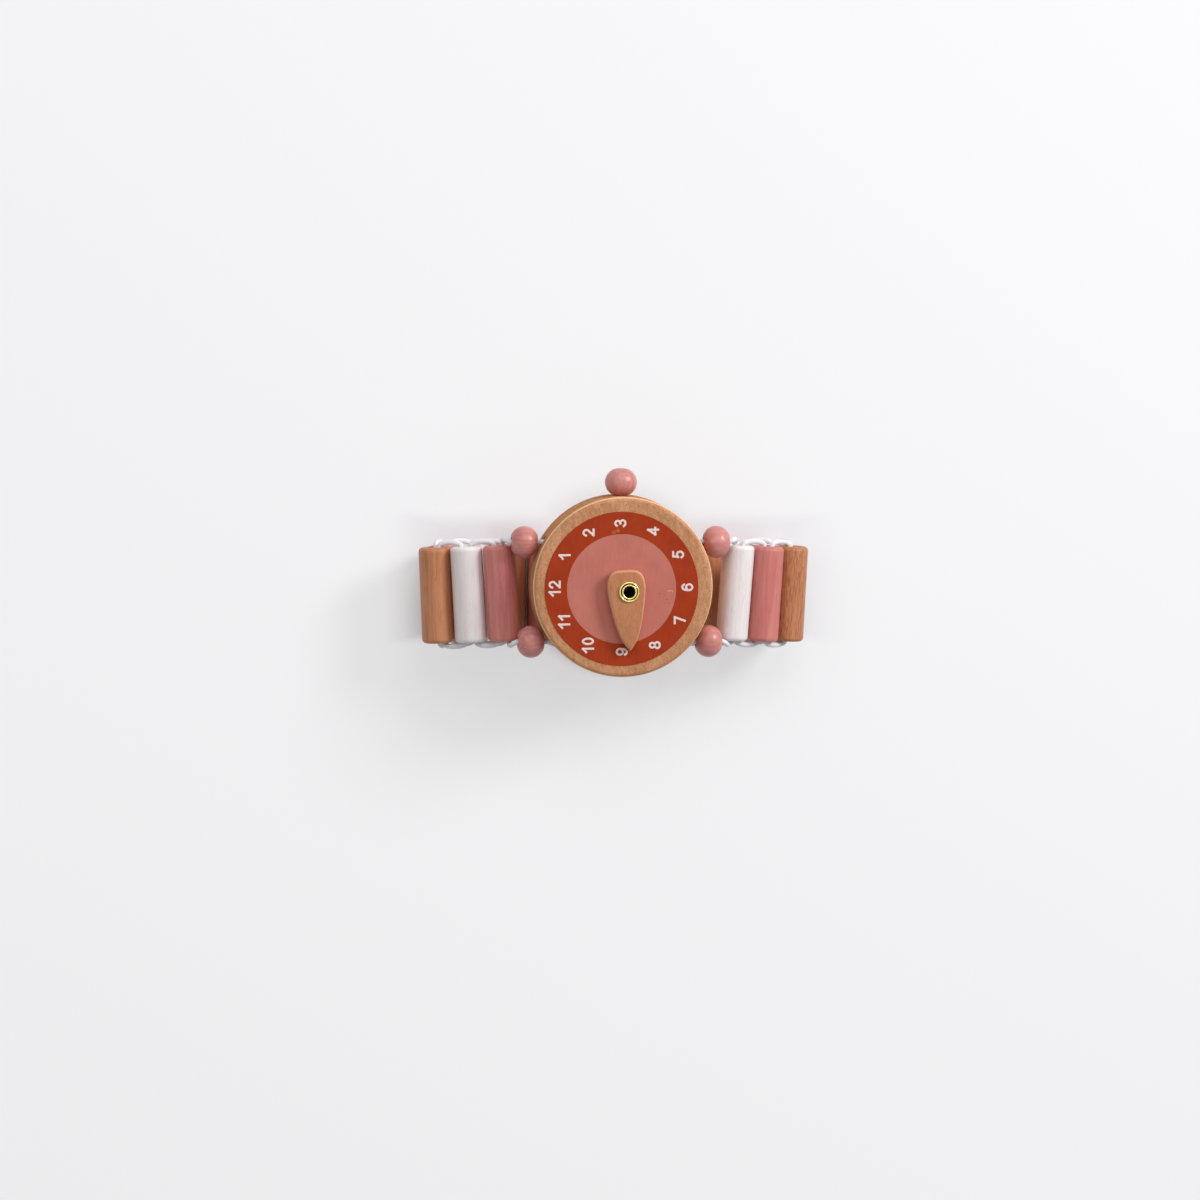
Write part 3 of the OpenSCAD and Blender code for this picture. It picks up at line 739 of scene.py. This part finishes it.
band = {"tubes": 17, "tubeD": 6.8, "tubeLen": 20.4, "boreD": 3.4, "gap": 0.35,
        "drop": 2.0, "lean": 4, "endDrop": 28,
        "rear": 9, "rightRear": [0, 0, 0, 0, 8], "leftRear": [0, 0, 0, 0, 20],
        "rightFold": [70.2, 146.3, 161.8], "leftFold": [68.8, 160, 162.5],
        "rightReach": 2.0, "leftReach": 1.6, "caseShift": 0.2,
        "leanShares": [1, 0.85, 0.65, 0.45, 0.25, 0.1, 0, 0, 0],
        "cordPitch": 21.1, "cordDrop": 1.4, "beadLen": 5.5, "beadFace": 3.0, "beadGap": 0.25,
        "grainTurn": 67, "grainShift": (13.7, 5.3, 9.1), "cornerShift": (8.3, 3.1)}
bandStep = band["tubeD"] + band["gap"]


def cornerOff(side, top):
    # from the case's middle to a corner bead's, where the bead's face just clears the round case
    y = top * band["cordPitch"] / 2 - band["cordDrop"]
    clear, nearest = caseRadius + band["beadGap"], abs(y) - band["beadFace"] / 2
    x = band["beadLen"] / 2 + math.sqrt(clear ** 2 - nearest ** 2)
    return Vector((side * x, y, 0))


def foldedAngles(rearAngles, fold, shift, reach):
    # the three links of a fold turn together until its last bead has its reach from the corner beads
    rear = bandStep * sum(math.cos(math.radians(angle)) for angle in rearAngles)
    wanted = max(cornerOff(1, 1).x, cornerOff(1, -1).x) + band["beadLen"] / 2 + shift + reach
    sumX, sumZ = (sum(way(math.radians(angle)) for angle in fold) for way in (math.cos, math.sin))
    turn = math.acos((wanted - rear) / (bandStep * math.hypot(sumX, sumZ))) - math.atan2(sumZ, sumX)
    return rearAngles + [angle + math.degrees(turn) for angle in fold]


rightAngles = foldedAngles(band["rightRear"], band["rightFold"], band["caseShift"], band["rightReach"])
leftAngles = foldedAngles(band["leftRear"], band["leftFold"], -band["caseShift"], band["leftReach"])


# The tube beads are numbered from the right of the dial, round the rear, to the left of it
def heading(bead):
    # the way from this bead to the next one, in degrees from X towards Z
    if bead == 0:
        return -band["endDrop"]
    if bead == band["tubes"]:
        return band["endDrop"] - 360
    if bead < band["rear"]:
        return rightAngles[band["rear"] - 1 - bead] - 180
    return -180 - leftAngles[bead - band["rear"]]


def loopPlace(bead):
    if bead == band["rear"]:
        return (0.0, band["tubeD"] / 2)
    if bead < band["rear"]:
        x, z = loopPlace(bead + 1)
        angle = math.radians(heading(bead))
        return (x - bandStep * math.cos(angle), z - bandStep * math.sin(angle))
    x, z = loopPlace(bead - 1)
    angle = math.radians(heading(bead - 1))
    return (x + bandStep * math.cos(angle), z + bandStep * math.sin(angle))


def leanAt(bead):
    shares = band["leanShares"]
    lean = -shares[bead - 1] if bead <= band["rear"] else shares[band["tubes"] - bead]
    return math.radians(band["lean"] * lean)


def rowRise(bead):
    # the beads fan out, so each lies a little lower than the one before it on the way to the rear
    if bead == band["rear"]:
        return 0.0
    inner = bead + 1 if bead < band["rear"] else bead - 1
    between = (abs(leanAt(bead)) + abs(leanAt(inner))) / 2
    return rowRise(inner) + abs(loopPlace(bead)[0] - loopPlace(inner)[0]) * math.tan(between)


def tubePlace(bead):
    x, z = loopPlace(bead)
    return Vector((x, casePlace.y - band["drop"] - rowRise(1) + rowRise(bead), z))


def tubeName(bead):
    return "tube_%02d" % bead


def tubeFinish(bead):
    name = "bead%02d" % bead
    middle = tubePlace(bead)
    lean = (0, 0, leanAt(bead))
    turn = (0, math.radians(band["grainTurn"] * bead), leanAt(bead))
    offset = tuple(bead * shift for shift in band["grainShift"])
    if bead == 1:
        return paintedWood(name, whiteLook, middle, lean, offset, bareAndReflectedStrip)
    if bead % 3 == 1:
        return paintedWood(name, whiteLook, middle, turn, offset)
    if bead % 3 == 2:
        return paintedWood(name, pinkLook, middle, turn, offset)
    return bareWood(name, grainyTan if bead == 3 else tanLook, middle, turn, offset)


def finishBeads():
    for bead in range(1, band["tubes"] + 1):
        dress(tubeName(bead), tubeFinish(bead))
    across = (0, 0, math.radians(90))
    spot = 0
    for end in ("upper", "lower"):
        for side in ("right", "left"):
            node = "corner_bead_%s_%s" % (end, side)
            spot += 1
            offset = (spot * band["cornerShift"][0], 2.0, spot * band["cornerShift"][1])
            dress(node, paintedWood("corner%d" % spot, roundLook, boxMiddle(node), across, offset))
    crown = paintedWood("crownPaint", roundLook, boxMiddle("crown_bead"), offset=(1.0, 4.0, 2.0))
    dress("crown_bead", crown)
    dress("crown_peg", bareWood("pegWood", pegLook, boxMiddle("crown_peg")))


finishBeads()
print("beads finished")

# Elastic, with its knot as millimetres from the middle and shares of the thickness
elastic = {"thickness": 1.1, "room": 0.1, "sides": 14, "archSteps": 16, "passSteps": 8,
           "knot": [(-1.4, 1.0), (-1.0, 1.25), (-0.5, 1.7), (0.0, 2.0 / 1.1), (0.5, 1.7), (1.0, 1.25),
                    (1.4, 1.0)],
           "white": paint(242, 240, 242), "shade": paint(214, 212, 220), "whiteShare": 0.6,
           "rough": 0.75, "shine": 0.25, "sheen": 0.25,
           "threads": 4, "lay": 5.1, "raisedFrom": 0.3, "raisedTo": 1.0, "fuzzScale": 6.0, "bump": 0.35}
cordRadius = elastic["thickness"] / 2
strandOff = band["boreD"] / 2 - cordRadius - elastic["room"]
archLift = elastic["thickness"] + elastic["room"]


def elasticFinish():
    # two sets of threads wind round the cord in opposite directions, as a braid's do
    look = elastic
    constants = {"Roughness": look["rough"], "Specular IOR Level": look["shine"],
                 "Sheen Weight": look["sheen"]}
    material, bench, shader = startFinish("elastic", constants)
    braid = bench.node("ShaderNodeAttribute", {"attribute_name": "braid"}, pick="Vector")
    across, up, along = bench.apart(braid)
    angle = up.maths("ARCTAN2", across)
    left = (angle * look["threads"] + along * (look["lay"] / mm)).single("SINE")
    right = (angle * look["threads"] - along * (look["lay"] / mm)).single("SINE")
    raised = (left * left).maths("MAXIMUM", right * right)
    raised = raised.smooth(look["raisedFrom"], look["raisedTo"])
    fuzz = bench.noise(pieceCoordinates(bench, (0, 0, 0)), look["fuzzScale"])
    # the grooves between the raised threads get painted shade, mixed with random fuzz
    white = raised * look["whiteShare"] + fuzz * look["whiteShare"]
    feed(bench, shader, "Base Color", bench.mixed(white, look["shade"], look["white"]))
    giveBump(bench, shader, look["bump"], raised)
    return material


cordFinish = elasticFinish()


def cordPiece(name, routes):
    piece = giveObject(name, threadMesh(name, routes, cordRadius, elastic["sides"], cordFinish), cordFinish)
    return piece


def leanAxis(bead):
    return Vector((-math.sin(leanAt(bead)), math.cos(leanAt(bead)), 0))


def leanSide(bead):
    return Vector((math.cos(leanAt(bead)), math.sin(leanAt(bead)), 0))


def inBore(bead, along, degrees):
    angle = math.radians(degrees)
    off = math.cos(angle) * leanSide(bead) + math.sin(angle) * Vector((0, 0, 1))
    return tubePlace(bead) + along * band["tubeLen"] / 2 * leanAxis(bead) + strandOff * off


def halfStrand(bead, fromTop, half):
    # half 0 runs from the mouth to the middle of the bead, half 1 on to the other mouth
    start = heading(bead - 1) - 180
    turn = heading(bead) - heading(bead - 1) + 180
    swing = turn if fromTop > 0 else turn - 360
    steps = elastic["passSteps"]
    shares = [0.5 * half + 0.5 * i / steps for i in range(steps + 1)]
    return [inBore(bead, fromTop * (1 - 2 * share), start + swing * share) for share in shares]


def bend(first, second, third, last):
    # points between the first and the last one, on a curve that two more points pull
    points = []
    for i in range(1, elastic["archSteps"]):
        t = i / elastic["archSteps"]
        start = (1 - t) ** 3 * first + 3 * t * (1 - t) ** 2 * second
        points.append(start + 3 * t * t * (1 - t) * third + t ** 3 * last)
    return points


def arch(bead, top):
    near, far = inBore(bead, top, heading(bead)), inBore(bead + 1, top, heading(bead) - 180)
    lift = top * archLift
    return bend(near, near + lift * leanAxis(bead), far + lift * leanAxis(bead + 1), far)


def plain(points):
    return [(point, 1.0) for point in points]


def makeLinks():
    # both strands from the middle of one tube bead to the middle of the next
    clear = strandOff + cordRadius
    for bead in range(1, band["tubes"]):
        routes = []
        for start in (1, -1):
            top = start if bead % 2 == 1 else -start
            routes.append(plain(halfStrand(bead, top, 1) + arch(bead, -top) + halfStrand(bead + 1, -top, 0)))
        piece = cordPiece("elastic_link_%02d" % bead, routes)
        angle = math.radians(heading(bead))
        way = Vector((math.cos(angle), 0, math.sin(angle)))
        near, far = tubePlace(bead) + clear * way, tubePlace(bead + 1) - clear * way
        tuple(near * mm)
        tuple(far * mm)
        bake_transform(piece)
        if bead == 1:
            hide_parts("elastic_cord")


def makeEnds():
    # from the middle of the last tube bead on each side to the middle of the corner beads
    lift = archLift + cordRadius
    for side, word, bead in ((1, "right", 1), (-1, "left", band["tubes"])):
        for top, end in ((1, "upper"), (-1, "lower")):
            lead = list(reversed(halfStrand(bead, top, 0))) if side > 0 else halfStrand(bead, -top, 1)
            leaves, corner = lead[-1], casePlace + cornerOff(side, top)
            mouth = corner + Vector((side * band["beadLen"] / 2, 0, 0))
            above = leaves + top * lift * leanAxis(bead)
            beside = mouth + Vector((side * lift, top * cordRadius, 0))
            route = plain(lead + bend(leaves, above, beside, mouth) + [mouth, corner])
            piece = cordPiece("elastic_end_%s_%s" % (end, word), [route])
            way = (mouth - leaves).normalized()
            near, far = leaves + cordRadius * way, mouth - cordRadius * way
            tuple(near * mm)
            tuple(far * mm)
            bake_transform(piece)


def makeThroughs():
    # straight through the case, with the knot in the lower bore
    for top, end in ((1, "upper"), (-1, "lower")):
        left, right = casePlace + cornerOff(-1, top), casePlace + cornerOff(1, top)
        middle = (left + right) / 2
        inner = [(middle + Vector((x, 0, 0)), share if top < 0 else 1.0) for x, share in elastic["knot"]]
        route = plain([left, left.lerp(middle, 0.5)]) + inner + plain([right.lerp(middle, 0.5), right])
        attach(cordPiece("elastic_through_" + end, [route]), "case")


makeLinks()
makeEnds()
makeThroughs()
print("elastic threaded")

# Floor and light
studio = {"floor": paint(236, 236, 240), "floorHalf": 3, "world": 0.33, "shine": 0.8,
          "floorGlow": 0.55, "glowFrom": 0.9, "glowTo": 1.35, "farFrom": 150, "farTo": 700,
          "shift": 1.5, "bandHalf": 38, "bandSide": 11, "caseReach": 17,
          "lamps": {"right": (6.4, (0.68, 0.47, 0.56), 0.36), "top": (2.4, (0.05, 0.66, 0.75), 0.55),
                    "left": (1.1, (-0.62, 0.3, 0.72), 0.6)}}


def floorPaper():
    material = bpy.data.materials.new("floorPaper")
    material.use_nodes = True
    material.node_tree.nodes.clear()
    bench = nodeBench(material.node_tree)
    matt = bench.node("ShaderNodeBsdfDiffuse", {}, {"Color": studio["floor"]})
    glow = bench.node("ShaderNodeEmission", {}, {"Color": (1, 1, 1, 1), "Strength": 1.0})
    rays = bench.node("ShaderNodeLightPath")
    seen = (rays + rays.out("Is Glossy Ray") + rays.out("Is Transmission Ray")).smooth(0.0, 1.0)
    # no glow under the watch, so that the gaps between its beads stay dark
    place = bench.stretched(bench.node("ShaderNodeTexCoord", pick="Object"), (1 / mm, 1 / mm, 0))
    x, y, z = bench.apart(place)
    across, up = ((value * value) ** 0.5 for value in (x - studio["shift"], y - casePlace.y))
    beyond = (across / studio["bandHalf"]).maths("MAXIMUM", up / studio["bandSide"])
    underCase = (casePlace.x + studio["shift"], casePlace.y, 0)
    fromCase = bench.vector("DISTANCE", place, underCase, "Value") / studio["caseReach"]
    outside = beyond.maths("MINIMUM", fromCase)
    far = bench.vector("LENGTH", place, (0, 0, 0), "Value").smooth(studio["farFrom"], studio["farTo"])
    outside = outside.smooth(studio["glowFrom"], studio["glowTo"])
    clear = outside * (far * (1 - studio["floorGlow"]) + studio["floorGlow"])
    shown = bench.node("ShaderNodeMixShader", {}, {0: seen * clear, 1: matt, 2: glow})
    bench.node("ShaderNodeOutputMaterial", {}, {"Surface": shown})
    return material


def makeFloor():
    def build(shape):
        half = studio["floorHalf"]
        corners = ((-half, -half, 0), (half, -half, 0), (half, half, 0), (-half, half, 0))
        shape.faces.new([shape.verts.new(corner) for corner in corners])
    giveObject("floor", meshFrom("floor", build), floorPaper())


def makeLight(name, power, place, size):
    lamp = bpy.data.lights.new(name, "AREA")
    lamp.energy, lamp.size = power, size
    lamp.shape = "DISK"
    holder = bpy.data.objects.new(name, lamp)
    holder.location = place
    holder.rotation_mode = "QUATERNION"
    holder.rotation_quaternion = (casePlace * mm - Vector(place)).to_track_quat("-Z", "Y")
    bpy.context.scene.collection.objects.link(holder)


def makeWorld():
    world = bpy.data.worlds.new("studio")
    world.use_nodes = True
    world.node_tree.nodes.clear()
    bench = nodeBench(world.node_tree)
    rays = bench.node("ShaderNodeLightPath")
    seen = (rays + rays.out("Is Transmission Ray")).smooth(0.0, 1.0)
    strength = (seen * (1 - studio["world"]) + studio["world"]
                + rays.out("Is Glossy Ray") * (studio["shine"] - studio["world"]))
    sky = bench.node("ShaderNodeBackground", {}, {"Color": (1, 1, 1, 1), "Strength": strength})
    bench.node("ShaderNodeOutputWorld", {}, {"Surface": sky})
    bpy.context.scene.world = world


makeFloor()
for lampName, (power, place, size) in studio["lamps"].items():
    makeLight(lampName + "Lamp", power, place, size)
makeWorld()
bpy.context.scene.view_settings.view_transform = "Standard"
print("studio lit")
